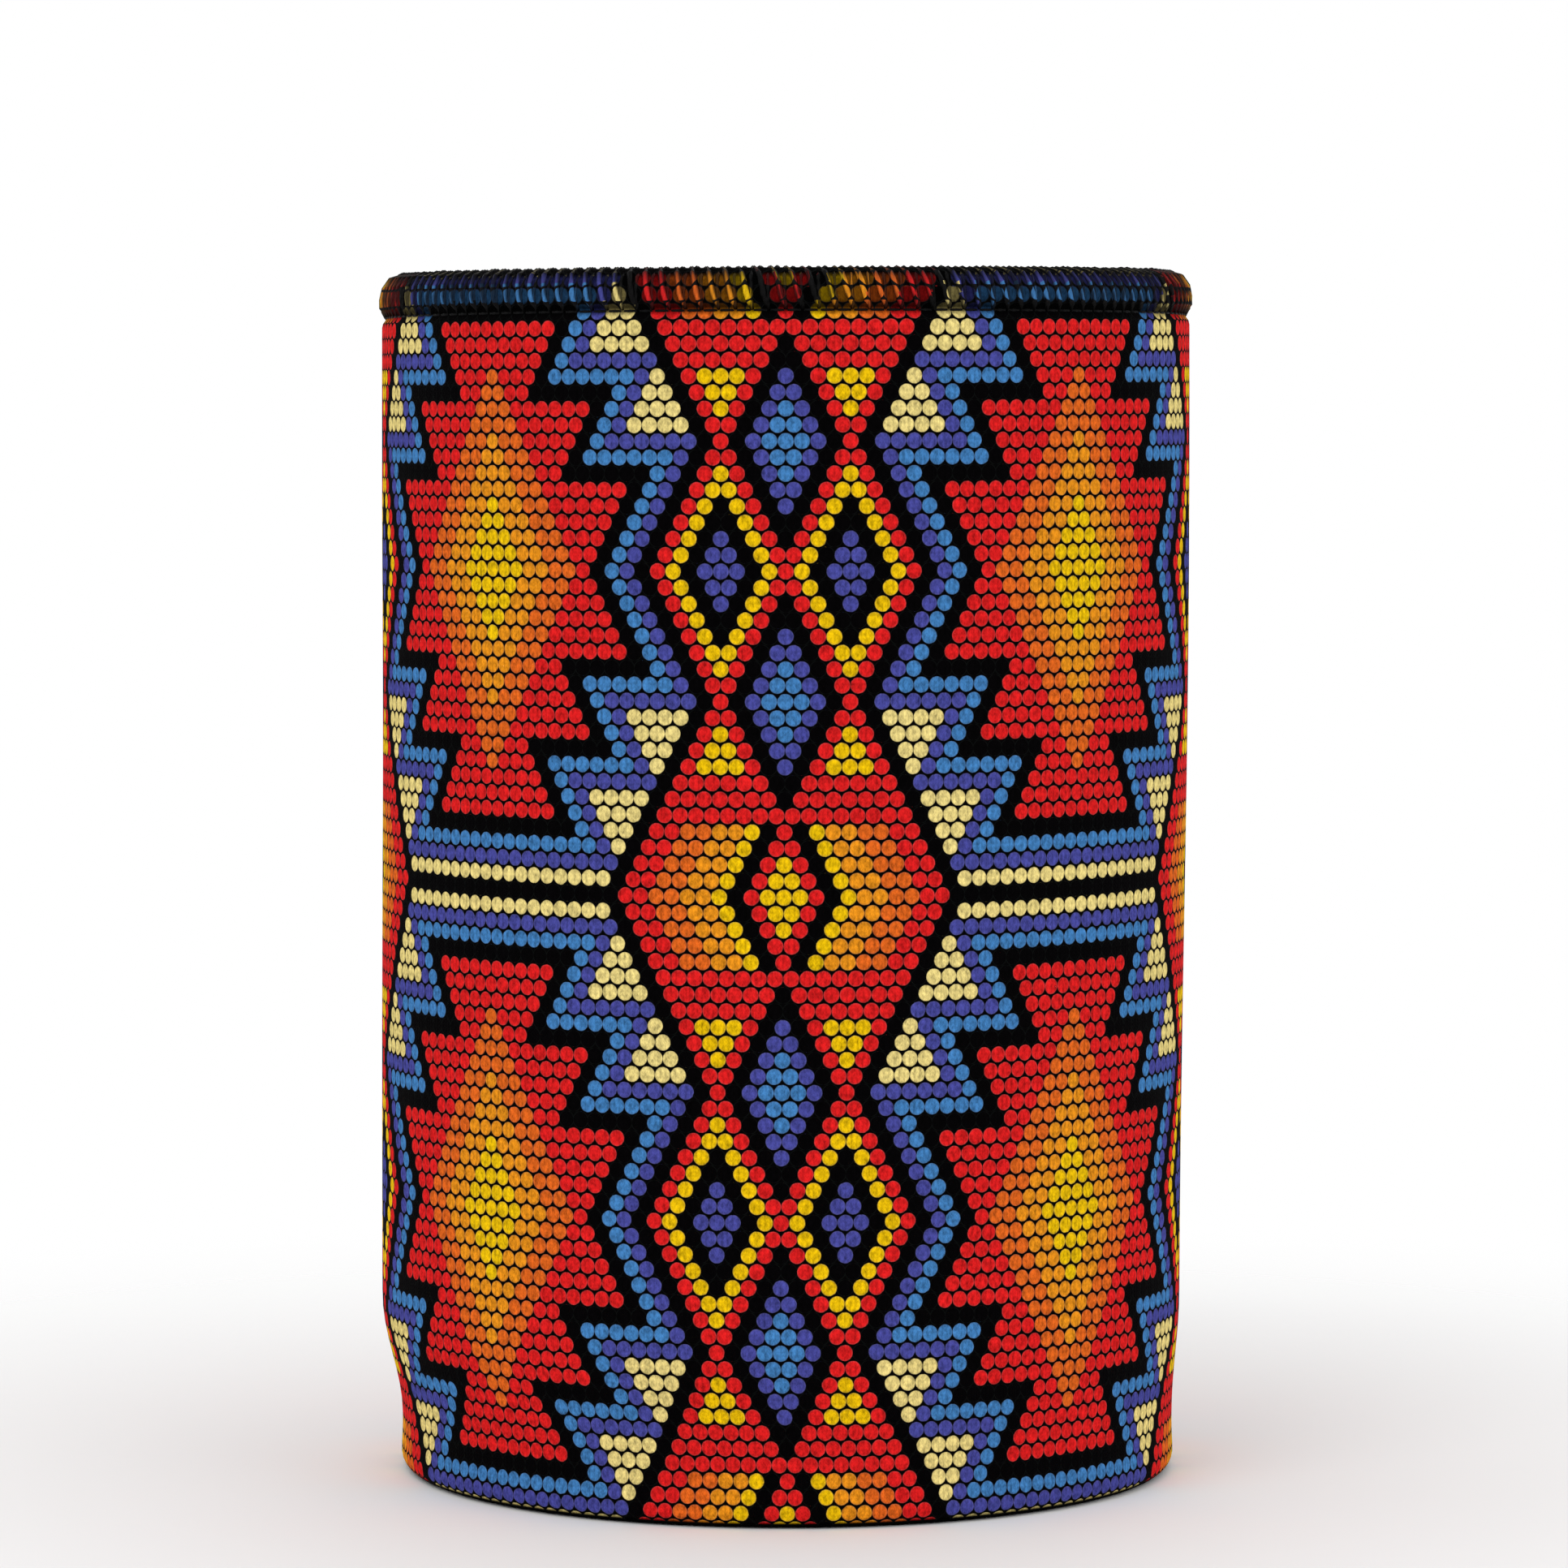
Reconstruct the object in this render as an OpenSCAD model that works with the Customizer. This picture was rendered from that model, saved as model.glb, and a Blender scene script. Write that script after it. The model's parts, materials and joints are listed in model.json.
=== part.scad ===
// Soft can cooler: an open foam sleeve with a closed base, stitched round the rim and up the back.
// Millimetres, +Z up. The origin is the middle of the base, where the sleeve stands on a table.
// The front faces -Y, and the butt seam runs up the back at +Y.

/* [Can] */
// Diameter of the can's straight body
can_d = 66.2; // [50:0.1:90]
// Gap all round between the can and the lining
can_gap = 0.3; // [0.3:0.05:0.5]

/* [Sleeve] */
// Overall height, up to the top of the rim stitching
sleeve_h = 113; // [60:1:180]
// Thickness of the foam in the wall
wall_foam_t = 3.7; // [2:0.1:8]
// Thickness of the jersey laminated to each face of the foam
jersey_t = 0.45; // [0.35:0.05:0.8]
// Width of the gap where the panel's two edges butt together at the back
butt_gap = 0.1; // [0.05:0.05:0.5]

/* [Foot] */
// How far the foot of the wall is drawn in to meet the base
draw_in = 1.3; // [0:0.1:3]
// Upright stretch of the foot above the base's top face
foot_rise = 0.4; // [0:0.1:3]
// Height over which the wall curves in, above the upright stretch
draw_len = 11.5; // [5:0.5:20]
// Radius of the corner where the printed cover turns under the foot
foot_round = 1.5; // [0.9:0.1:2]

/* [Base] */
// Thickness of the foam in the base
base_foam_t = 3.7; // [2:0.1:8]
// Gap round the base disc, which the glue fills
glue_gap = 0.05; // [0.02:0.01:0.2]

/* [Rim stitching] */
// Upright part of the overlocked band, from the needle line to the round crown
band_h = 1.75; // [1.5:0.05:4]
// Distance from one overlock stitch to the next
rim_stitch = 1.5; // [1.2:0.1:3]
// Diameter of the fluffy looper threads
looper_d = 0.4; // [0.3:0.05:0.5]
// Diameter of the needle threads
needle_d = 0.26; // [0.2:0.02:0.28]
// How far the lower looper sinks the lining at the rim
rim_bite = 0.5; // [0.5:0.05:0.8]
// Lean of the looper threads from upright, in degrees
lean = 15; // [5:1:20]

/* [Back seam and base seam] */
// Width of the zigzag stitches up the back
zigzag_w = 3; // [2:0.1:5]
// Rise of one zigzag stitch
zigzag_rise = 1.5; // [1.2:0.1:3]
// Width of the tape over the seam inside
tape_w = 15; // [10:1:25]
// Thickness of the tape
tape_t = 0.2; // [0.1:0.02:0.2]
// Distance from one stitch of the base seam to the next
base_stitch = 2; // [1.5:0.1:4]
// Width of the base seam's stitches
base_seam_w = 1.8; // [1.4:0.1:2.6]

/* [Hidden] */
$fn = 96;
skin = 0.02; // thread lies this far off the fabric that it crosses
curve_steps = 8; // straight steps in the drawn-in curve of the foot
bore_r = can_d / 2 + can_gap;
wall_t = wall_foam_t + 2 * jersey_t;
wall_r = bore_r + wall_t;
foot_in_r = bore_r - draw_in;
rim_round = (wall_t - rim_bite) / 2;
rim_r = wall_r - rim_round;
rim_z = sleeve_h - looper_d - rim_round;
needle_z = rim_z - band_h;
loop_r = (rim_round + looper_d / 2) / cos(lean);
rim_count = round(2 * PI * wall_r / rim_stitch);
base_top = base_foam_t + 2 * jersey_t;
draw_low = base_top + foot_rise;
draw_top = draw_low + draw_len;
base_r = foot_in_r - glue_gap;
groove_d = needle_d + 3 * skin;
groove_w = base_seam_w + 2 * needle_d;
base_count = 2 * round(PI * foot_in_r / base_stitch);
zigzag_low = foot_round + zigzag_rise;
zigzag_count = floor((needle_z - 2 * needle_d - zigzag_low) / zigzag_rise);
lined_low = base_top + zigzag_rise;
lined_count = floor((needle_z - 2 * rim_bite - lined_low) / zigzag_rise);

// How far the wall stands in from its upright line at height z
function drawn(z) = z >= draw_top ? 0
    : z <= draw_low ? draw_in
    : draw_in * (1 + cos(180 * (z - draw_low) / (draw_top - draw_low))) / 2;

// Heights that follow the drawn-in curve, from the foot up
function curve_z() = [for (i = [0:curve_steps]) draw_low + i * (draw_top - draw_low) / curve_steps];

// The laminated wall's cross-section with d taken off all round
module wall_section(d) {
    foot_r = wall_r - draw_in;
    up = [for (z = curve_z()) [wall_r - d - drawn(z), z]];
    down = [for (i = [curve_steps:-1:0]) let (z = curve_z()[i]) [bore_r + d - drawn(z), z]];
    polygon(concat(
        [[foot_in_r + d, d], [foot_r - foot_round, d], [foot_r - d, foot_round]], up,
        [[wall_r - d, rim_z], [bore_r + rim_bite + d, rim_z],
         [bore_r + rim_bite + d, needle_z - rim_bite], [bore_r + d, needle_z - 2 * rim_bite]],
        down));
    translate([foot_r - foot_round, foot_round]) circle(foot_round - d);
    translate([rim_r, rim_z]) circle(rim_round - d);
}

// The two skins of jersey together, before they are parted into cover and lining
module jersey_section() {
    difference() {
        wall_section(0);
        wall_section(jersey_t);
    }
}

// The side of the wall that the printed cover takes: outside its middle line, and under the foot
module cover_side() {
    mid_r = bore_r + wall_t / 2;
    polygon(concat(
        [[0, 0], [0, jersey_t], [mid_r - draw_in, jersey_t]],
        [for (z = curve_z()) [mid_r - drawn(z), z]],
        [[mid_r, needle_z], [rim_r, rim_z], [rim_r, sleeve_h], [2 * wall_r, sleeve_h], [2 * wall_r, 0]]));
}

// The shallow groove that the base seam's stitches pull down into
module base_groove() {
    translate([foot_in_r - groove_w / 2, -1]) square([groove_w, 1 + groove_d]);
}

// A turned solid with the butt joint left open at the back
module bent_panel() {
    difference() {
        rotate_extrude() children();
        translate([-butt_gap / 2, 0, -1]) cube([butt_gap, wall_r + 1, sleeve_h + 2]);
    }
}

// A straight run of thread of diameter d from point a to point b
module run(a, b, d) {
    v = b - a;
    translate(a) rotate([0, atan2(norm([v.x, v.y]), v.z), atan2(v.y, v.x)])
        cylinder(d = d, h = norm(v), $fn = 16);
}

// A strip up the inside of the back seam, from depth a to depth b behind the wall's inner face
module inner_strip(width, low_z, a, b) {
    half = asin(width / 2 / bore_r);
    steps = [for (z = curve_z()) if (z > low_z) z];
    heights = concat([low_z], steps, [needle_z - 2 * rim_bite]);
    face = [for (z = heights) [bore_r - drawn(z) + a, z]];
    back = [for (i = [len(heights) - 1:-1:0]) [bore_r - drawn(heights[i]) + b, heights[i]]];
    rotate([0, 0, 90 - half]) rotate_extrude(angle = 2 * half) polygon(concat(face, back));
}

// A row of zigzag stitches up the back, centred r away from the axis where the wall is upright
module zigzag(count, low_z, r) {
    point = [for (i = [0:count]) let (z = low_z + i * zigzag_rise)
        [(i % 2 == 0 ? -1 : 1) * zigzag_w / 2, r - drawn(z), z]];
    for (i = [0:count - 1]) stitch(point[i], point[i + 1]);
}

// One stitch from a to b, which stops short at each end, where the thread goes down its needle hole
module stitch(a, b) {
    inset = needle_d * (b - a) / norm(b - a);
    run(a + inset, b - inset, needle_d);
}

module wall_cover() {
    color("firebrick") bent_panel() difference() {
        intersection() {
            jersey_section();
            cover_side();
        }
        base_groove();
    }
}

module wall_foam() {
    color("dimgray") bent_panel() wall_section(jersey_t);
}

module wall_lining() {
    color("black") difference() {
        bent_panel() difference() {
            jersey_section();
            cover_side();
        }
        // the bobbin thread sinks into this groove, under the tape
        inner_strip(zigzag_w + 2 * needle_d, lined_low - 2 * needle_d, -skin, groove_d);
    }
}

module base_cover() {
    color("black") rotate_extrude() difference() {
        square([base_r, jersey_t]);
        base_groove();
    }
}

module base_foam() {
    color("dimgray") translate([0, 0, jersey_t]) cylinder(r = base_r, h = base_foam_t);
}

module base_lining() {
    color("black") translate([0, 0, jersey_t + base_foam_t]) cylinder(r = base_r, h = jersey_t);
}

module seam_tape() {
    color("black") inner_strip(tape_w, base_top, -tape_t, 0);
}

module seam_needle_thread() {
    color("black") zigzag(zigzag_count, zigzag_low, wall_r + needle_d / 2 + skin);
}

module seam_bobbin_thread() {
    color("black") zigzag(lined_count, lined_low, bore_r + needle_d / 2 + skin);
}

module rim_needle_thread() {
    reach = PI * wall_r / rim_count - needle_d;
    color("black") for (i = [0:rim_count - 1])
        rotate([0, 0, (i + 0.5) * 360 / rim_count])
            run([wall_r + needle_d / 2 + skin, -reach, needle_z],
                [wall_r + needle_d / 2 + skin, reach, needle_z], needle_d);
}

// One side of every overlock loop: up one face of the wall and over to the crown of the rim
module looper(side, start, low_z) {
    drop = (rim_z - low_z) / cos(lean);
    for (i = [0:rim_count - 1])
        rotate([0, 0, (i + start) * 360 / rim_count]) translate([rim_r, 0, rim_z])
            rotate([side * lean, 0, 0]) {
                rotate([90, 0, 0]) rotate([0, 0, side > 0 ? 0 : 90])
                    rotate_extrude(angle = 90) translate([loop_r, 0]) circle(d = looper_d, $fn = 16);
                translate([side * loop_r, 0, -drop]) cylinder(d = looper_d, h = drop, $fn = 16);
            }
}

module rim_upper_looper_thread() {
    color("midnightblue") looper(1, 0, needle_z + needle_d);
}

module rim_lower_looper_thread() {
    color("black") looper(-1, 0.5, needle_z);
}

module base_seam_thread() {
    step = 360 / base_count;
    mid_z = skin + needle_d / 2;
    inner_r = foot_in_r - base_seam_w / 2;
    outer_r = foot_in_r + base_seam_w / 2;
    color("black") for (i = [0:base_count - 1]) {
        from_r = i % 2 == 0 ? inner_r : outer_r;
        to_r = i % 2 == 0 ? outer_r : inner_r;
        a = [from_r * cos(i * step), from_r * sin(i * step), mid_z];
        b = [to_r * cos((i + 1) * step), to_r * sin((i + 1) * step), mid_z];
        stitch(a, b);
    }
}

wall_cover();
wall_foam();
wall_lining();
base_cover();
base_foam();
base_lining();
seam_tape();
seam_needle_thread();
seam_bobbin_thread();
rim_needle_thread();
rim_upper_looper_thread();
rim_lower_looper_thread();
base_seam_thread();
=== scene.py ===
import json
import math

import bmesh
import bpy
from mathutils import Matrix, Vector, noise


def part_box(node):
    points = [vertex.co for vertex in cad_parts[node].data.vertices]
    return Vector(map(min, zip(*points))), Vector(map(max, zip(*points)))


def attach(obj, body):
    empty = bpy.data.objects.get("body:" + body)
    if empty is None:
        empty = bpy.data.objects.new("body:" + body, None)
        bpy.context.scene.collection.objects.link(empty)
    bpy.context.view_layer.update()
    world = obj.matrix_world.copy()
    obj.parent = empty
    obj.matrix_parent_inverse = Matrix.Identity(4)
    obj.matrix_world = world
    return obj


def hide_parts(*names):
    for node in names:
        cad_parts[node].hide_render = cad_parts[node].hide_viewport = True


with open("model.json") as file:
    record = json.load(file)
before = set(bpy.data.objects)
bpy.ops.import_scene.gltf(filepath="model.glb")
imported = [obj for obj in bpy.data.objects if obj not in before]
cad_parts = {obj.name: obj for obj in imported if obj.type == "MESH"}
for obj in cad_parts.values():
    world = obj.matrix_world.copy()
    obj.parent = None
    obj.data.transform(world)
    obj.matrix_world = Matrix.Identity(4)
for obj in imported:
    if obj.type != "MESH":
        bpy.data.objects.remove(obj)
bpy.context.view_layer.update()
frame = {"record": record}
print("frame loaded")

mm = 0.001
tau = 2 * math.pi

# Sizes that the frame gives
canBore = next(m for m in frame["record"]["mounts"] if m["name"] == "can_bore")
boreR = canBore["dims"]["r_mm"] * mm
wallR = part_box("wall_cover")[1].x
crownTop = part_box("wall_cover")[1].z
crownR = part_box("wall_lining")[1].x  # middle of the rounded rim
crownRound = wallR - crownR
crownZ = crownTop - crownRound
needleZ = sum(corner.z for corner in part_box("rim_needle_thread")) / 2
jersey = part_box("base_cover")[1].z
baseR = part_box("base_cover")[1].x
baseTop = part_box("base_lining")[1].z
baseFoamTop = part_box("base_foam")[1].z
wallT = wallR - boreR
rimStep = wallT - 2 * crownRound  # the lining steps out this much at the rim
footIn = baseR + 0.05 * mm
drawIn = boreR - footIn  # how far the foot is drawn in
drawLow = baseTop + 0.4 * mm
drawTop = drawLow + 11.5 * mm
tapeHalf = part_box("seam_tape")[1].x
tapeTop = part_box("seam_tape")[1].z

soft = {
    "lean": 0.6 * mm,  # the foot sits this far to the right
    "sway": 0.45 * mm,  # the lower half sits this far to the left
    "slack": 0.18 * mm,  # the lower half is this much slimmer
    "wobble": 0.10 * mm,
    "rimTilt": 0.18 * mm,  # the rim stands a little higher on the right
    "rimStand": 0.28 * mm,  # the foam springs up a little at the crown
    "footBulge": 0.12 * mm,
    "needleGroove": 0.40 * mm,
    "needleRise": 0.30 * mm,  # the needle line rides up at the front
    "seamValley": 0.35 * mm,
    "baseGroove": 0.32 * mm,
}


def smooth(value, low, high):
    share = min(1, max(0, (value - low) / (high - low)))
    return share * share * (3 - 2 * share)


def hump(value, width):
    return math.exp(-((value / width) ** 2))


def drawn(z):  # how far the wall stands in at height z
    if z >= drawTop:
        return 0
    if z <= drawLow:
        return drawIn
    return drawIn * (1 + math.cos(math.pi * (z - drawLow) / (drawTop - drawLow))) / 2


def needleLine(across):
    return needleZ + soft["needleRise"] * math.cos(across)


def settle(bm, cloth=True):  # gives every piece the same soft, hand-sewn shape
    for v in bm.verts:
        x, y, z = v.co
        radius = math.hypot(x, y)
        across = math.atan2(x, -y)
        out = Vector((math.sin(across), -math.cos(across), 0))
        wall = smooth(radius, 0.7 * baseR, baseR)
        outer = smooth(radius, boreR + 1.2 * mm, wallR - 0.3 * mm)
        move = 0
        if cloth:
            low = z - needleLine(across)
            move -= soft["needleGroove"] * hump(low, 0.42 * mm) * outer
            lift = soft["baseGroove"] * hump(radius - footIn, 0.75 * mm) * (1 - smooth(z, 0, baseTop))
            v.co.z += lift * (1 if radius < wallR - drawIn - 1.2 * mm else 0)
        else:
            v.co.z += soft["needleRise"] * math.cos(across) * (1 - smooth(z, 109.2 * mm, 111 * mm)) \
                * smooth(z, 106 * mm, 108 * mm)
        seam = math.pi - abs(across)
        move -= soft["seamValley"] * hump(seam * wallR, 1.7 * mm) * outer * smooth(z, 1 * mm, 5 * mm)
        slow = noise.noise(Vector((2.1 * math.sin(across), 2.1 * math.cos(across), 28 * z)))
        move += soft["wobble"] * slow * wall * smooth(z, 0, 25 * mm)
        move += soft["footBulge"] * hump(z - 1.8 * mm, 1.3 * mm) * outer
        move -= soft["slack"] * outer * (1 - smooth(z, 20 * mm, 60 * mm))
        v.co += out * move
        v.co.x += soft["lean"] * drawn(z) / drawIn - soft["sway"] * (1 - smooth(z, 15 * mm, 85 * mm))
        v.co.z += soft["rimTilt"] * math.sin(across + 0.3) * smooth(z, 60 * mm, crownTop) * wall
        v.co.z += soft["rimStand"] * smooth(z, crownZ, crownTop)


def chain(bm, places, closed=False):  # a line of (radius, height) places, standing at the back
    verts = [bm.verts.new((0, radius, z)) for radius, z in places]
    edges = [bm.edges.new(pair) for pair in zip(verts, verts[1:])]
    if closed:
        edges.append(bm.edges.new((verts[-1], verts[0])))
    return verts + edges


def sweep(bm, parts, steps, start=1e-4, sweepAngle=None):  # turns a line from one edge of the seam round to the other
    verts = [part for part in parts if isinstance(part, bmesh.types.BMVert)]
    bmesh.ops.rotate(bm, verts=verts, matrix=Matrix.Rotation(start, 3, "Z"))
    bmesh.ops.spin(bm, geom=parts, cent=(0, 0, 0), axis=(0, 0, 1), dvec=(0, 0, 0), steps=steps,
                   angle=tau - 2 * start if sweepAngle is None else sweepAngle,
                   use_merge=False, use_normal_flip=False, use_duplicate=False)


def faceOut(bm, towards):  # towards(centre) is the way the cloth's face should look
    bmesh.ops.recalc_face_normals(bm, faces=bm.faces)
    bm.normal_update()
    wrong = sum(1 if f.normal.dot(towards(f.calc_center_median())) < 0 else -1 for f in bm.faces)
    if wrong > 0:
        bmesh.ops.reverse_faces(bm, faces=bm.faces)


def makePiece(name, bm, material, nodes, thickness=0):
    mesh = bpy.data.meshes.new(name)
    bm.to_mesh(mesh)
    bm.free()
    mesh.shade_smooth()
    mesh.materials.append(material)
    made = bpy.data.objects.new(name, mesh)
    bpy.context.scene.collection.objects.link(made)
    if thickness:
        wall = made.modifiers.new("thickness", "SOLIDIFY")
        wall.thickness = thickness
        wall.offset = -1
        wall.use_quality_normals = True
    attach(made, "root")
    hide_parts(*nodes)
    print("made", name, len(mesh.polygons), "faces")
    return made


class Wire:  # a shader value that adds a Math node each time it is worked on
    def __init__(self, shader, socket):
        self.shader = shader
        self.socket = socket

    def math(self, operation, *others, clamp=False):
        values = {0: self, **{i + 1: other for i, other in enumerate(others)}}
        return self.shader.add("Math", {"operation": operation, "use_clamp": clamp}, values)

    def __add__(self, other):
        return self.math("ADD", other)

    def __sub__(self, other):
        return self.math("SUBTRACT", other)

    def __mul__(self, other):
        return self.math("MULTIPLY", other)

    def __truediv__(self, other):
        return self.math("DIVIDE", other)

    def __pow__(self, other):
        return self.math("POWER", other)

    def __rsub__(self, other):
        return self.shader.add("Math", {"operation": "SUBTRACT"}, {0: other, 1: self})

    __radd__ = __add__
    __rmul__ = __mul__


class Shader:
    def __init__(self, name):
        self.material = bpy.data.materials.new(name)
        self.material.use_nodes = True
        self.nodes = self.material.node_tree.nodes
        self.links = self.material.node_tree.links
        self.nodes.clear()

    def add(self, kind, settings=None, inputs=None, output=0):
        node = self.nodes.new("ShaderNode" + kind)
        for key, value in (settings or {}).items():
            setattr(node, key, value)
        for key, value in (inputs or {}).items():
            if isinstance(value, Wire):
                self.links.new(value.socket, node.inputs[key])
            else:
                node.inputs[key].default_value = value
        return Wire(self, node.outputs[output]) if node.outputs else node

    def parts(self, vector):
        split = self.add("SeparateXYZ", inputs={0: vector})
        return [Wire(self, socket) for socket in split.socket.node.outputs]

    def mapUv(self, name):
        return self.parts(self.add("UVMap", {"uv_map": name}))

    def objectPlace(self, scale=(1, 1, 1)):
        place = self.add("TexCoord", output="Object")
        return self.add("Mapping", {}, {"Vector": place, "Scale": scale})

    def attribute(self, name, output="Fac"):
        return self.add("Attribute", {"attribute_name": name}, output=output)

    def grade(self, value, low, high, fromZero=0, toOne=1):
        return self.add("MapRange", {"interpolation_type": "SMOOTHSTEP"},
                        {"Value": value, "From Min": low, "From Max": high, "To Min": fromZero, "To Max": toOne})

    def blend(self, share, first, second):
        return self.add("Mix", {"data_type": "RGBA"}, {0: share, 6: first, 7: second}, output=2)

    def shade(self, colour, share):
        return self.add("VectorMath", {"operation": "SCALE"}, {0: colour, "Scale": share})

    def clouds(self, place, scale, detail=2, roughness=0.5):
        return self.add("TexNoise", {}, {"Vector": place, "Scale": scale, "Detail": detail, "Roughness": roughness})

    def finish(self, colour, roughness, height=None, distance=0.1 * mm, **constants):
        inputs = {"Base Color": colour, "Roughness": roughness, **constants}
        if height is not None:
            inputs["Normal"] = self.add("Bump", {}, {"Height": height, "Distance": distance, "Strength": 1.0})
        surface = self.add("BsdfPrincipled", {}, inputs)
        self.add("OutputMaterial", {}, {"Surface": surface})
        return self.material


# The view, light and floor
view = {"away": 609 * mm, "height": 103.8 * mm, "aside": -0.15 * mm, "down": 3.673, "lens": 147.93}
light = {"sky": 0.80, "key": 2.2, "fill": 0.9}
floorLook = {"radius": 0.45, "solid": 0.05, "gone": 0.18, "colour": (0.99, 0.99, 0.99, 1)}


def placeCamera():
    camera = bpy.data.objects.new("camera", bpy.data.cameras.new("camera"))
    camera.data.lens = view["lens"]
    camera.data.sensor_width = 36
    camera.data.clip_start = 0.01
    camera.location = (view["aside"], -view["away"], view["height"])
    camera.rotation_euler = (math.radians(90 - view["down"]), 0, 0)
    bpy.context.scene.collection.objects.link(camera)
    bpy.context.scene.camera = camera


def softLamp(name, place, aim, size, power):
    lamp = bpy.data.objects.new(name, bpy.data.lights.new(name, "AREA"))
    lamp.data.shape = "DISK"
    lamp.data.size = size
    lamp.data.energy = power
    lamp.location = place
    lamp.rotation_euler = (Vector(aim) - Vector(place)).to_track_quat("-Z", "Y").to_euler()
    bpy.context.scene.collection.objects.link(lamp)


def lightStudio():
    world = bpy.data.worlds.new("studio")
    world.use_nodes = True
    nodes, links = world.node_tree.nodes, world.node_tree.links
    nodes.clear()
    path = nodes.new("ShaderNodeLightPath")
    strength = nodes.new("ShaderNodeMapRange")
    strength.inputs["To Min"].default_value = light["sky"]
    strength.inputs["To Max"].default_value = 1.0
    glow = nodes.new("ShaderNodeBackground")
    glow.inputs["Color"].default_value = (1, 1, 1, 1)
    output = nodes.new("ShaderNodeOutputWorld")
    links.new(path.outputs["Is Camera Ray"], strength.inputs["Value"])
    links.new(strength.outputs[0], glow.inputs["Strength"])
    links.new(glow.outputs[0], output.inputs["Surface"])
    bpy.context.scene.world = world
    bpy.context.scene.view_settings.view_transform = "Standard"
    softLamp("key", (-0.45, -0.75, 1.0), (0, 0, 0.06), 0.6, light["key"])
    softLamp("fill", (0.8, -0.7, 0.45), (0, 0, 0.06), 0.7, light["fill"])
    softLamp("backFill", (0.1, 0.9, 0.8), (0, 0, 0.06), 0.7, light["fill"])


def layFloor():
    s = Shader("palePaper")
    x, y, z = s.parts(s.objectPlace())
    away = (x * x + y * y).math("SQRT")
    paper = s.add("BsdfPrincipled", {}, {"Base Color": floorLook["colour"], "Roughness": 0.9,
                                         "Specular IOR Level": 0.1})
    clear = s.add("BsdfTransparent")
    gone = s.grade(away, floorLook["solid"], floorLook["gone"])
    mixed = s.add("MixShader", {}, {0: gone, 1: paper, 2: clear})
    s.add("OutputMaterial", {}, {"Surface": mixed})
    bm = bmesh.new()
    bmesh.ops.create_circle(bm, cap_ends=True, segments=96, radius=floorLook["radius"])
    bmesh.ops.translate(bm, verts=bm.verts, vec=(0, 0, -0.02 * mm))
    mesh = bpy.data.meshes.new("floor")
    bm.to_mesh(mesh)
    bm.free()
    mesh.materials.append(s.material)
    floor = bpy.data.objects.new("floor", mesh)
    bpy.context.scene.collection.objects.link(floor)


placeCamera()
lightStudio()
layFloor()
print("camera, light and floor placed")


# The printed bead chart, which repeats every 80 half dots round and 40 rows up
chart = {
    "columns": 160,  # dots round the sleeve, four whole repeats
    "rowPitch": 1.4533 * mm,
    "rowSpread": 0.000238 * mm,  # the rows open out a little toward the foot
    "middleRow": 57.01 * mm,  # height of the front medallion's middle row
    "ease": 0.0155,  # the print is a little closer together over the front and back
    "dot": 0.496,  # radius of a dot, in dots
}
inks = {
    "red": (0.708, 0.0137, 0.0144, 1),
    "ember": (0.739, 0.1315, 0.0137, 1),
    "orange": (0.795, 0.281, 0.0115, 1),
    "yellow": (0.820, 0.512, 0.0032, 1),
    "cream": (0.820, 0.664, 0.235, 1),
    "blue": (0.0533, 0.203, 0.475, 1),
    "indigo": (0.0625, 0.0665, 0.313, 1),
    "black": (0.0012, 0.0009, 0.0012, 1),
}


def stair(step):
    return step + 10 * max(0, 2 - (step - 2) // 5)


def insideMedallion(side, level):
    if level <= 4:  # nested diamonds in the medallion's waist
        ring = side + level
        for reach, name in ((2, "yellow"), (4, "red"), (6, "black"), (8, "yellow"), (12, "orange"), (16, "ember")):
            if ring <= reach:
                return name
        return "red"
    blueRing = side + abs(level - 12)
    for reach, name in ((2, "blue"), (4, "indigo"), (6, "black")):
        if blueRing <= reach:
            return name
    lattice = abs(side - 8) + 20 - level
    for reach, name in ((2, "indigo"), (4, "black"), (6, "yellow")):
        if lattice <= reach:
            return name
    if 8 <= level <= 10 and abs(side - 8) + level <= 10:
        return "yellow"
    return "red"


def outsideMedallion(side, level):
    if level == 0:
        return "black"
    for band, name in ((3, "field"), (2, "black"), (1, "blue"), (0, "indigo")):
        if level - band >= 2 and side >= stair(level - band) + 3 * band:
            if name != "field":
                return name
            for reach, shade in ((4, "yellow"), (8, "orange"), (12, "ember")):
                if 60 - side - level <= reach:
                    return shade
            return "red"
    return "cream"


def dotInk(column, row):  # ink of the dot that covers this place on the chart
    level = math.floor(row + 0.5)
    half = 2 * math.floor(column - 0.5 * (level % 2) + 0.5) + level % 2
    side = abs((half + 40) % 80 - 40)
    height = abs((level + 20) % 40 - 20)
    edge = side - 10 - abs(height - 12)
    if edge == 0:
        return inks["black"]
    return inks[insideMedallion(side, height) if edge < 0 else outsideMedallion(side, height)]


def rowHeight(row):
    return chart["middleRow"] + chart["rowPitch"] * row - chart["rowSpread"] * row * row


def heightRow(z):
    straight = (z - chart["middleRow"]) / chart["rowPitch"]
    return straight + chart["rowSpread"] / chart["rowPitch"] * straight * straight


def chartPlace(co):  # column and row of the chart at a place on the outside
    across = math.atan2(co.x, -co.y)
    column = (across + chart["ease"] * math.sin(2 * across)) * chart["columns"] / tau
    if co.z <= crownZ:
        return column, heightRow(co.z)
    turned = math.atan2(co.z - crownZ, math.hypot(co.x, co.y) - crownR)
    return column, heightRow(crownZ + crownRound * turned)


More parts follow.
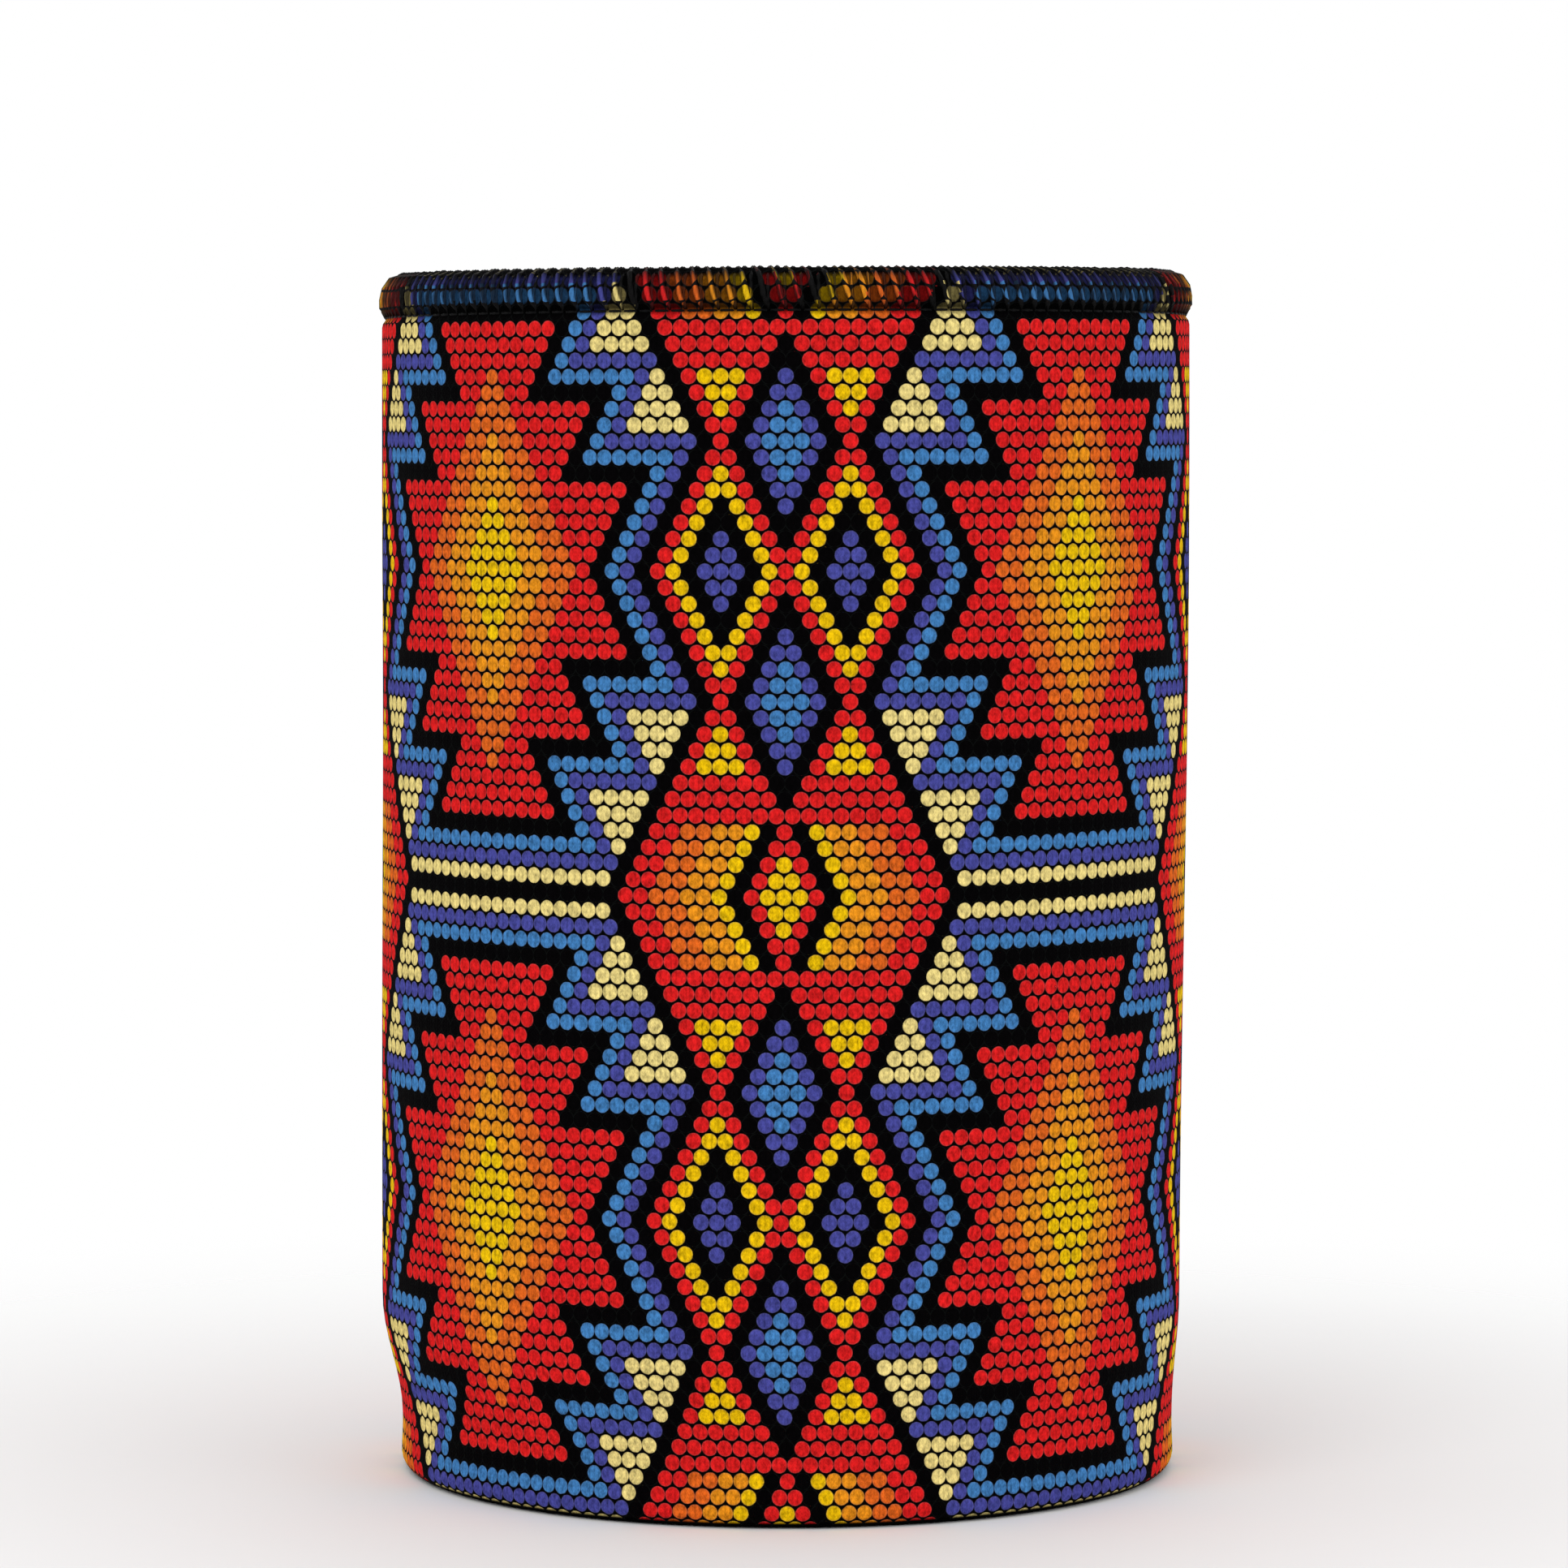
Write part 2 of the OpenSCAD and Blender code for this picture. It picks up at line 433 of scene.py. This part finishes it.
def printedDot(s, scatter=0.0):  # share of ink, and how near a place is to its dot's edge
    u, v, w = s.mapUv("print")
    if scatter:
        drift = s.clouds(s.objectPlace(), 3300, 1)
        u = u + (drift - 0.5) * scatter
        v = v + (drift - 0.5) * (-scatter)
    row = (v + 0.5).math("FLOOR")
    odd = row.math("FLOORED_MODULO", 2)
    across = (u - odd * 0.5 + 0.5).math("FRACT") - 0.5
    up = v - row
    away = (across * across + up * up).math("SQRT")
    return s.grade(away, chart["dot"] + 0.012, chart["dot"] - 0.022), away


def knitHeight(s, u, v, wales=1, courses=1):  # little V stitches, side by side in columns
    side = ((u * wales).math("FRACT") - 0.5).math("ABSOLUTE")
    leg = ((v * courses + side * 1.4) * tau).math("COSINE") * 0.5 + 0.5
    return leg * s.grade(side, 0.5, 0.30) * 0.7 + s.grade(side, 0.5, 0.25) * 0.3


coverLook = {"thickness": 0.45 * mm, "wales": 3, "courses": 4, "columnSteps": 2, "hem": 3}


def coverMaterial():
    s = Shader("printedJersey")
    u, v, w = s.mapUv("print")
    dot, away = printedDot(s, 0.05)
    bead = s.attribute("bead", "Color")
    # the ink attribute carries the painted shadow of the needle groove and of the cloth under the rim threads into
    # the print colour
    ink = s.attribute("ink")
    knit = knitHeight(s, u, v, coverLook["wales"], coverLook["courses"])
    speckle = s.clouds(s.objectPlace((1, 1, 0.6)), 3000, 2, 0.6)
    patch = s.clouds(s.objectPlace(), 160, 2)
    tone = (speckle * 1.90 + knit * 0.20 + patch * 0.10 - 0.09) * ink
    coloured = s.grade(s.add("RGBToBW", {}, {0: bead}), 0.0, 0.05)  # a black dot has no grey edge
    greyRim = s.grade(away, 0.40, 0.475) * coloured * 0.24
    dyedAndShaded = s.blend(greyRim, s.shade(bead, tone), s.shade((0.11, 0.10, 0.10), tone))
    line = s.grade(away, 0.485, 0.505) * s.grade(away, 0.56, 0.52) * 0.5
    ground = s.blend(line, (0.0012, 0.0010, 0.0012, 1), (0.0075, 0.0095, 0.0088, 1))
    colour = s.blend(dot, ground, dyedAndShaded)
    rough = 0.86 + speckle * 0.1
    return s.finish(colour, rough, knit * 0.7 + speckle * 0.3, 0.055 * mm,
                    **{"Specular IOR Level": 0.02, "Sheen Weight": 0.0})


def makeWallCover():
    footRound = 1.5 * mm
    footEdge = wallR - drawIn - footRound
    outline = []  # (radius, height, row)
    bend = heightRow(footRound)
    for i in range(coverLook["hem"], 0, -1):  # the hem turned under the foot
        inward = i / coverLook["hem"] * (footEdge - footIn)
        outline.append((footEdge - inward, 0, bend - (footRound * math.pi / 2 + inward) / chart["rowPitch"]))
    for i in range(7):
        turned = i / 6 * math.pi / 2
        outline.append((footEdge + footRound * math.sin(turned), footRound * (1 - math.cos(turned)),
                        bend - footRound * (math.pi / 2 - turned) / chart["rowPitch"]))
    lastRow = heightRow(crownZ)
    row = math.ceil(bend * 2 + 0.2) / 2
    while row < lastRow - 0.1:
        z = rowHeight(row)
        outline.append((wallR - drawn(z), z, row))
        row += 0.25 if row >= 34.5 else 1 if row == math.floor(row) + 0.5 else 0.5
    for i in range(13):
        turned = i / 12 * math.pi / 2
        outline.append((crownR + crownRound * math.cos(turned), crownZ + crownRound * math.sin(turned),
                        heightRow(crownZ + crownRound * turned)))
    bm = bmesh.new()
    rowOf = bm.verts.layers.float.new("row")
    inkAndShadeOf = bm.verts.layers.float.new("ink")
    printUv = bm.loops.layers.uv.new("print")
    bakeUv = bm.loops.layers.uv.new("OFBake")  # front half above, back half below, for a baked copy
    beadOf = bm.loops.layers.float_color.new("bead")
    parts = chain(bm, [place[:2] for place in outline])
    for v, place in zip(parts, outline):
        v[rowOf] = place[2]
    steps = chart["columns"] * coverLook["columnSteps"]
    sweep(bm, parts, steps)
    faceOut(bm, lambda c: Vector((c.x, c.y, 0)))
    for face in bm.faces:
        spots = []
        for loop in face.loops:
            across = math.atan2(loop.vert.co.x, -loop.vert.co.y)
            spots.append((round(across / tau * steps) / coverLook["columnSteps"], loop.vert[rowOf]))
        middle = [sum(values) / len(spots) for values in zip(*spots)]
        ink = dotInk(*middle)
        quarter = chart["columns"] / 4
        front = abs(middle[0]) < quarter
        shift = 0 if front else -2 * quarter if middle[0] > 0 else 2 * quarter
        for loop, (column, row) in zip(face.loops, spots):
            loop[printUv].uv = (column, row)
            up = (row - outline[0][2]) / (outline[-1][2] - outline[0][2])
            loop[bakeUv].uv = (0.003 + 0.994 * ((column + shift) / quarter + 1) / 2,
                               (0.504 if front else 0.004) + 0.492 * up)
            loop[beadOf] = ink
    for v in bm.verts:
        across = math.atan2(v.co.x, -v.co.y)
        low = v.co.z - needleLine(across)
        # painted shadow: the print share drops to 0.04 in the needle groove and rises only to 0.16 under the rim
        # threads; the hem and the top of the crown carry no print
        shadow = smooth(low, -0.55 * mm, 0.15 * mm)
        under = 0.12 * smooth(low, 0.5 * mm, 1.0 * mm)
        hem = smooth(v[rowOf], -38.68, -38.48)  # the cloth turned under the foot has no ink
        turned = math.atan2(v.co.z - crownZ, math.hypot(v.co.x, v.co.y) - crownR)
        v[inkAndShadeOf] = ((1 - shadow) + (0.04 + under) * shadow) * hem * (1 - smooth(turned, 0.65, 0.85))
        eased = across - chart["ease"] * math.sin(2 * across)
        v.co = Matrix.Rotation(eased - across, 3, "Z") @ v.co
    settle(bm)
    return makePiece("wallCover", bm, coverMaterial(), ["wall_cover"], coverLook["thickness"])


wallCover = makeWallCover()

jerseyLook = {"colour": (0.0050, 0.0048, 0.0055, 1), "wale": 0.50, "course": 0.37, "rough": 0.88}
lining = {"columns": 180, "rise": 2.2 * mm, "thickness": 0.45 * mm}


def jerseyMaterial(name, flat):  # flat cloth reads its place, turned cloth its own map, both in millimetres
    s = Shader(name)
    if flat:
        place = s.objectPlace((1000, 1000, 1000))
        u, v, w = s.parts(place)
    else:
        u, v, w = s.mapUv("cloth")
    knit = knitHeight(s, u, v, 1 / jerseyLook["wale"], 1 / jerseyLook["course"])
    fuzz = s.clouds(s.objectPlace(), 2600, 3, 0.6)
    rub = s.clouds(s.objectPlace(), 60, 3)
    tone = knit * 0.7 + fuzz * 0.5 + rub * 0.5 + 0.15
    colour = s.shade(jerseyLook["colour"][:3], tone)
    return s.finish(colour, fuzz * 0.1 + (jerseyLook["rough"] - 0.05), knit * 0.7 + fuzz * 0.3, 0.09 * mm,
                    **{"Specular IOR Level": 0.10, "Sheen Weight": 0.015, "Sheen Roughness": 0.4})


def clothMap(bm, radius):  # lays the cloth's own map out flat, in millimetres
    cloth = bm.loops.layers.uv.new("cloth")
    for face in bm.faces:
        for loop in face.loops:
            across = math.atan2(loop.vert.co.x, -loop.vert.co.y)
            loop[cloth].uv = (across * radius / mm, loop.vert.co.z / mm)


def riseTo(low, high, step):
    count = max(1, round((high - low) / step))
    return [low + (high - low) * i / count for i in range(count + 1)]


def makeWallLining():
    heights = riseTo(jersey, drawLow, 1.2 * mm) + riseTo(drawLow, drawTop, 1 * mm)[1:]
    heights += riseTo(drawTop, needleZ - 2 * rimStep, lining["rise"])[1:]
    outline = [(boreR - drawn(z), z) for z in heights]
    outline += [(boreR + rimStep, z) for z in riseTo(needleZ - rimStep, crownZ, 0.5 * mm)]
    for i in range(1, 9):
        turned = math.pi - i / 8 * math.pi / 2
        outline.append((crownR + crownRound * math.cos(turned), crownZ + crownRound * math.sin(turned)))
    bm = bmesh.new()
    sweep(bm, chain(bm, outline), lining["columns"], 0.0015)
    faceOut(bm, lambda c: Vector((-c.x, -c.y, 0)))
    clothMap(bm, boreR)
    settle(bm)
    made = makePiece("wallLining", bm, jerseyMaterial("liningJersey", False), ["wall_lining"],
                     lining["thickness"])
    tau * boreR


foamLook = {"colour": (0.030, 0.031, 0.034), "cell": 2400, "columns": 96}


def foamMaterial():
    s = Shader("charcoalFoam")
    place = s.objectPlace()
    cells = s.add("TexVoronoi", {"feature": "F1"}, {"Vector": place, "Scale": foamLook["cell"]})
    grain = s.clouds(place, 900, 3)
    tone = cells * 0.9 + grain * 0.6 + 0.3
    return s.finish(s.shade(foamLook["colour"], tone), grain * 0.1 + 0.85, cells, 0.12 * mm,
                    **{"Specular IOR Level": 0.3})


def makeWallFoam(material):
    foot = wallR - drawIn
    outline = [(footIn + jersey, jersey), (foot - 1.5 * mm, jersey), (foot - 0.75 * mm, 0.72 * mm),
               (foot - jersey, 1.5 * mm)]
    heights = riseTo(drawLow, drawTop, 1.4 * mm) + riseTo(drawTop, crownZ, 4 * mm)[1:]
    outline += [(wallR - jersey - drawn(z), z) for z in heights]
    for i in range(1, 12):
        turned = i / 12 * math.pi
        reach = crownRound - jersey
        outline.append((crownR + reach * math.cos(turned), crownZ + reach * math.sin(turned)))
    outline += [(boreR + rimStep + jersey, crownZ), (boreR + rimStep + jersey, needleZ - rimStep)]
    inner = [z for z in heights if z < needleZ - 2 * rimStep] + [needleZ - 2 * rimStep]
    outline += [(boreR + jersey - drawn(z), z) for z in reversed(inner)]
    bm = bmesh.new()
    sweep(bm, chain(bm, outline, closed=True), foamLook["columns"], 0.0015)
    bmesh.ops.holes_fill(bm, edges=[e for e in bm.edges if e.is_boundary], sides=0)
    bmesh.ops.recalc_face_normals(bm, faces=bm.faces)
    settle(bm)
    made = makePiece("wallFoam", bm, material, ["wall_foam"])


base = {"rings": (0, 1.2, 3, 5, 7, 9, 11, 13, 15, 17, 19, 21, 23, 25, 27, 28.5, 29.7, 30.4, 31, 31.5), "steps": 144,
        "dish": 0.28 * mm}


def disc(bm, z, radius, dish):
    places = [(r * mm, z) for r in base["rings"]] + [(radius, z)]
    places = [(r, z + dish * (1 - (r / radius) ** 2)) for r, z in places]
    parts = chain(bm, places)
    bmesh.ops.spin(bm, geom=parts, cent=(0, 0, 0), axis=(0, 0, 1), dvec=(0, 0, 0), steps=base["steps"], angle=tau,
                   use_merge=True, use_normal_flip=False, use_duplicate=False)
    bmesh.ops.remove_doubles(bm, verts=bm.verts, dist=1e-6)


def makeBase(foamStuff):
    flatJersey = jerseyMaterial("baseJersey", True)
    for name, z, facing, dish, node in (("baseCover", 0, -1, base["dish"], "base_cover"),
                                        ("baseLining", baseTop, 1, 0.5 * base["dish"], "base_lining")):
        bm = bmesh.new()
        disc(bm, z, baseR, dish)
        faceOut(bm, lambda c: Vector((0, 0, facing)))
        settle(bm)
        made = makePiece(name, bm, flatJersey, [node], jersey)
    bm = bmesh.new()
    disc(bm, jersey, baseR, base["dish"])
    disc(bm, baseFoamTop, baseR, 0.5 * base["dish"])
    bmesh.ops.bridge_loops(bm, edges=[e for e in bm.edges if e.is_boundary])
    bmesh.ops.recalc_face_normals(bm, faces=bm.faces)
    settle(bm)
    made = makePiece("baseFoam", bm, foamStuff, ["base_foam"])


tape = {"steps": 22, "thickness": 0.2 * mm, "colour": (0.0075, 0.0075, 0.0085), "pick": 0.34, "end": 0.30}


def tapeMaterial():
    s = Shader("wovenTape")
    u, v, w = s.mapUv("cloth")
    twill = (((u / tape["end"]) + (v / tape["pick"])) * math.pi).math("SINE").math("ABSOLUTE")
    weft = ((v / tape["pick"]) * math.pi).math("SINE").math("ABSOLUTE")
    fuzz = s.clouds(s.objectPlace(), 2600, 2)
    height = twill * 0.6 + weft * 0.4
    return s.finish(s.shade(tape["colour"], height * 0.8 + fuzz * 0.5 + 0.2), fuzz * 0.15 + 0.6, height, 0.06 * mm,
                    **{"Specular IOR Level": 0.35, "Sheen Weight": 0.04})


def makeSeamTape():
    half = math.asin(tapeHalf / boreR)
    heights = riseTo(baseTop, drawLow, 0.5 * mm) + riseTo(drawLow, drawTop, 1 * mm)[1:]
    heights += riseTo(drawTop, tapeTop, 2 * mm)[1:]
    bm = bmesh.new()
    parts = chain(bm, [(boreR - drawn(z) - tape["thickness"], z) for z in heights])
    sweep(bm, parts, tape["steps"], -half, 2 * half)
    faceOut(bm, lambda c: Vector((-c.x, -c.y, 0)))
    cloth = bm.loops.layers.uv.new("cloth")
    for face in bm.faces:
        for loop in face.loops:
            loop[cloth].uv = (loop.vert.co.x / mm, loop.vert.co.z / mm)
    settle(bm)
    for v in bm.verts:  # small puckers between the stitches behind it
        edge = smooth(abs(v.co.x), 0.5 * tapeHalf, tapeHalf)
        v.co.y += 0.10 * mm * edge * math.sin(v.co.z / (2.3 * mm) * tau + v.co.x / mm)
    made = makePiece("seamTape", bm, tapeMaterial(), ["seam_tape"], tape["thickness"])


def newThread():
    bm = bmesh.new()
    bm.verts.layers.float.new("crestInkAndHighlight")
    bm.loops.layers.uv.new("thread")
    return bm


def tube(bm, path, sides=6, lit=1.0):  # path is a list of (centre, outward, radius)
    crestInkAndHighlightOf = bm.verts.layers.float["crestInkAndHighlight"]
    threadUv = bm.loops.layers.uv["thread"]
    frames = []
    for i, (centre, outward, radius) in enumerate(path):
        ahead = (path[min(i + 1, len(path) - 1)][0] - path[max(i - 1, 0)][0]).normalized()
        out = (outward - ahead * outward.dot(ahead)).normalized()
        turned = Matrix((out.cross(ahead) * radius, out * radius, ahead * radius)).transposed().to_4x4()
        turned.translation = centre
        frames.append(turned)
    ring = bmesh.ops.create_circle(bm, cap_ends=True, segments=sides, radius=1, matrix=frames[0])["verts"]
    edges = list({e for v in ring for e in v.link_edges})
    level = {v: 0 for v in ring}
    for i in range(1, len(frames)):
        made = bmesh.ops.extrude_edge_only(bm, edges=edges)["geom"]
        ring = [part for part in made if isinstance(part, bmesh.types.BMVert)]
        edges = [part for part in made if isinstance(part, bmesh.types.BMEdge)]
        bmesh.ops.transform(bm, matrix=frames[i] @ frames[i - 1].inverted(), verts=ring)
        level.update({v: i for v in ring})
    bmesh.ops.contextual_create(bm, geom=edges)
    turn = {}
    for v, i in level.items():
        local = frames[i].inverted() @ v.co
        turn[v] = math.atan2(local.x, local.y) / tau
        # painted highlight: full on the outward-facing side of each thread, none on its inward side, scaled by lit
        v[crestInkAndHighlightOf] = (0.5 + 0.5 * local.y) * lit
    for face in {f for v in level for f in v.link_faces}:
        turns = [turn[loop.vert] for loop in face.loops]
        for loop, t in zip(face.loops, turns):
            loop[threadUv].uv = (level[loop.vert], t + 1 if max(turns) - t > 0.5 else t)


def copyRound(bm, count):
    bmesh.ops.spin(bm, geom=bm.verts[:] + bm.edges[:] + bm.faces[:], cent=(0, 0, 0), axis=(0, 0, 1),
                   dvec=(0, 0, 0), steps=count - 1, angle=tau * (count - 1) / count,
                   use_merge=False, use_normal_flip=False, use_duplicate=True)


def fluff(bm, amount, scale):  # no two stitches lie quite alike
    for v in bm.verts:
        v.co += noise.noise_vector(v.co * scale) * amount


threadLook = {"colour": (0.0026, 0.0025, 0.0029), "twist": 3, "rough": 0.55}


def twistHeight(s, twist):
    u, v, w = s.mapUv("thread")
    return ((u * 0.9 + v * twist) * tau).math("SINE") * 0.5 + 0.5


def threadMaterial():
    s = Shader("blackThread")
    ply = twistHeight(s, threadLook["twist"])
    hair = s.clouds(s.objectPlace(), 5000, 2)
    tone = ply * 0.7 + hair * 0.6 + 0.2
    return s.finish(s.shade(threadLook["colour"], tone), hair * 0.2 + threadLook["rough"], ply, 0.05 * mm,
                    **{"Specular IOR Level": 0.10, "Sheen Weight": 0.01})


def printedThreadMaterial():
    s = Shader("printedThread")
    dot, away = printedDot(s)
    bead = s.attribute("bead", "Color")
    # ink holds painted shade in the needle groove and at the left and right sides, and darkens toward the top of the
    # crown; the outward-side share paints a highlight streak on each thread
    ink = s.attribute("ink")
    crestInkAndHighlight = s.attribute("crestInkAndHighlight")
    ply = twistHeight(s, threadLook["twist"])
    hair = s.clouds(s.objectPlace(), 4200, 2, 0.6)
    reach = s.clouds(s.objectPlace(), 420, 1)
    pressed = s.clouds(s.objectPlace((1, 1, 0.5)), 150, 2)  # the print took unevenly along the rim, and this noise also breaks up the painted highlight on the threads' outward sides
    inkTakenAndHighlight = s.grade(crestInkAndHighlight + (reach - 0.5) * 0.6 + (pressed - 0.5) * 0.8, 0.72, 1.0, 0.09, 1.0)
    tone = (hair * 0.5 + ply * 0.2 + 0.6) * ink * inkTakenAndHighlight
    colour = s.blend(dot, (0.0014, 0.0011, 0.0014, 1), s.shade(bead, tone))
    return s.finish(colour, hair * 0.2 + 0.5, ply, 0.05 * mm, **{"Specular IOR Level": 0.10})


rim = {"stitch": 1.5 * mm, "main": 0.30 * mm, "back": 0.19 * mm, "proud": -0.04 * mm, "needle": 0.13 * mm,
       "lean": 15, "over": 0.55 * mm}  # the loops lie over the middle of the rim this much
rimCount = round(tau * wallR / rim["stitch"])
rimBand = crownZ - needleZ


def rimPlace(up, along, proud, side):  # a place on the rim, up the cloth from the needle line
    turned = max(0, up - rimBand) / crownRound
    reach = crownRound + proud
    out = Vector((side * math.cos(turned), 0, math.sin(turned)))
    centre = Vector((crownR, 0, min(needleZ + up, crownZ))) + out * reach
    turn = Matrix.Rotation(along / wallR - math.pi / 2, 3, "Z")
    return turn @ centre, turn @ out


def looperLoop(bm, side):
    pitch = tau * wallR / rimCount
    start = 0 if side > 0 else 0.5 * pitch
    top = rimBand + crownRound * math.pi / 2 + rim["over"]
    leaning = math.tan(math.radians(rim["lean"]))
    across = leaning * rimBand
    ends = []
    for up in (0.10 * mm, 0.45 * mm, 1.0 * mm, rimBand, rimBand + 0.9 * mm, rimBand + 1.8 * mm, top - 0.3 * mm, top):
        along = leaning * up if up <= rimBand else across + (pitch - across) * (up - rimBand) / (top - rimBand)
        dive = 0.45 * mm * (1 - smooth(up, 0.1 * mm, 0.9 * mm)) + 0.12 * mm * smooth(up, top - 0.4 * mm, top)
        thick = rim["main"] * (0.55 + 0.45 * smooth(up, 0.1 * mm, 1.1 * mm) - 0.2 * smooth(up, rimBand, top))
        ends.append((*rimPlace(up, start - side * along, rim["proud"] - dive, side), thick))
    tube(bm, ends, 6)
    ends = []
    for up in (top, top - 0.5 * mm, rimBand + 1.5 * mm, rimBand + 0.6 * mm, rimBand - 0.4 * mm, 0.6 * mm, 0.1 * mm):
        bow = 0.12 * mm * math.sin(math.pi * up / top)
        dive = 0.35 * mm * (1 - smooth(up, 0.1 * mm, 0.8 * mm)) + 0.12 * mm * smooth(up, top - 0.4 * mm, top)
        ends.append((*rimPlace(up, start - side * (pitch + bow), rim["proud"] - dive, side), rim["back"]))
    # painted highlight on the return leg is dimmer, lit at 0.72
    tube(bm, ends, 5, 0.72)


def makeRimThreads(blackThread):
    bm = newThread()
    looperLoop(bm, 1)
    copyRound(bm, rimCount)
    fluff(bm, 0.09 * mm, 700)
    printUv = bm.loops.layers.uv.new("print")
    beadOf = bm.loops.layers.float_color.new("bead")
    inkAndShadeOf = bm.verts.layers.float.new("ink")
    crestInkAndHighlightOf = bm.verts.layers.float["crestInkAndHighlight"]
    for v in bm.verts:
        turned = math.atan2(v.co.z - crownZ, math.hypot(v.co.x, v.co.y) - crownR)
        aside = smooth(abs(v.co.x), 0.45 * wallR, 0.9 * wallR)
        # painted shade: the print fades into the needle groove and is darker at the left and right sides; it also
        # darkens toward the top of the crown
        v[inkAndShadeOf] = smooth(v.co.z - needleZ, 0.30 * mm, 0.75 * mm) * (1 - 0.94 * smooth(turned, 0.75, 0.95)) \
            * (1 - 0.35 * smooth(turned, 0.4, 0.7)) * (1 - 0.25 * aside)
        v[crestInkAndHighlightOf] *= 1 - 0.10 * aside  # painted shade: the highlight on the threads' outward sides is weaker at the left and right sides
    for face in bm.faces:
        ink = dotInk(*chartPlace(face.calc_center_median()))
        for loop in face.loops:
            loop[printUv].uv = chartPlace(loop.vert.co)
            loop[beadOf] = ink
    bmesh.ops.recalc_face_normals(bm, faces=bm.faces)
    settle(bm, cloth=False)
    makePiece("rimUpperLooperThread", bm, printedThreadMaterial(), ["rim_upper_looper_thread"])

    bm = newThread()
    looperLoop(bm, -1)
    copyRound(bm, rimCount)
    fluff(bm, 0.09 * mm, 700)
    bmesh.ops.recalc_face_normals(bm, faces=bm.faces)
    settle(bm, cloth=False)
    makePiece("rimLowerLooperThread", bm, blackThread, ["rim_lower_looper_thread"])

    bm = newThread()
    pitch = tau * wallR / rimCount
    path = []
    for along, deep in ((0.04, 0.30), (0.14, 0.05), (0.5, 0), (0.86, 0.05), (0.96, 0.30)):
        centre, out = rimPlace(0, along * pitch, rim["needle"] - soft["needleGroove"] - (deep + 0.10) * mm, 1)
        path.append((centre, out, rim["needle"]))
    tube(bm, path, 8)
    copyRound(bm, rimCount)
    bmesh.ops.recalc_face_normals(bm, faces=bm.faces)
    settle(bm, cloth=False)
    makePiece("rimNeedleThread", bm, blackThread, ["rim_needle_thread"])


seam = {"width": 3 * mm, "rise": 1.5 * mm, "thread": 0.13 * mm, "low": 3 * mm, "linedLow": baseTop + 1.5 * mm}


def stitchPath(first, last, out, radius):
    ahead = last - first
    return [(first + ahead * share - out * deep * mm, out, radius)
            for share, deep in ((0.05, 0.32), (0.12, 0.08), (0.3, 0), (0.7, 0), (0.88, 0.08), (0.95, 0.32))]


def makeSeamThreads(blackThread):
    top = needleZ - 0.52 * mm
    for name, low, high, faceR, side, node, slot in (
            ("seamNeedleThread", seam["low"], top, wallR, 1, "seam_needle_thread", "needle_thread"),
            ("seamBobbinThread", seam["linedLow"], needleZ - 2 * rimStep, boreR, -1, "seam_bobbin_thread",
             "needle_thread")):
        bm = newThread()
        count = math.floor((high - low) / seam["rise"])
        places = []
        for i in range(count + 1):
            z = low + i * seam["rise"]
            r = faceR - drawn(z) + (0.07 * mm if side > 0 else 0.25 * mm)
            places.append(Vector(((-1 if i % 2 == 0 else 1) * seam["width"] / 2, r, z)))
        for first, last in zip(places, places[1:]):
            tube(bm, stitchPath(first, last, Vector((0, side, 0)), seam["thread"]), 6)
        bmesh.ops.recalc_face_normals(bm, faces=bm.faces)
        settle(bm, cloth=False)
        makePiece(name, bm, blackThread, [node])


baseSeam = {"stitch": 2 * mm, "width": 1.8 * mm, "thread": 0.13 * mm, "height": 0.16 * mm}


def makeBaseSeam(blackThread):
    count = round(math.pi * footIn / baseSeam["stitch"])  # pairs of stitches, one out and one in
    half = tau / count / 2
    radii = (footIn - baseSeam["width"] / 2, footIn + baseSeam["width"] / 2)
    places = [Vector((r * math.cos(i * half), r * math.sin(i * half), baseSeam["height"]))
              for i, r in enumerate((radii[0], radii[1], radii[0]))]
    bm = newThread()
    for first, last in zip(places, places[1:]):
        tube(bm, stitchPath(first, last, Vector((0, 0, -1)), baseSeam["thread"]), 6)
    copyRound(bm, count)
    bmesh.ops.recalc_face_normals(bm, faces=bm.faces)
    settle(bm, cloth=False)
    makePiece("baseSeamThread", bm, blackThread, ["base_seam_thread"])


makeWallLining()
foamStuff = foamMaterial()
makeWallFoam(foamStuff)
makeBase(foamStuff)
makeSeamTape()
blackThread = threadMaterial()
makeRimThreads(blackThread)
makeSeamThreads(blackThread)
makeBaseSeam(blackThread)

bpy.context.view_layer.update()
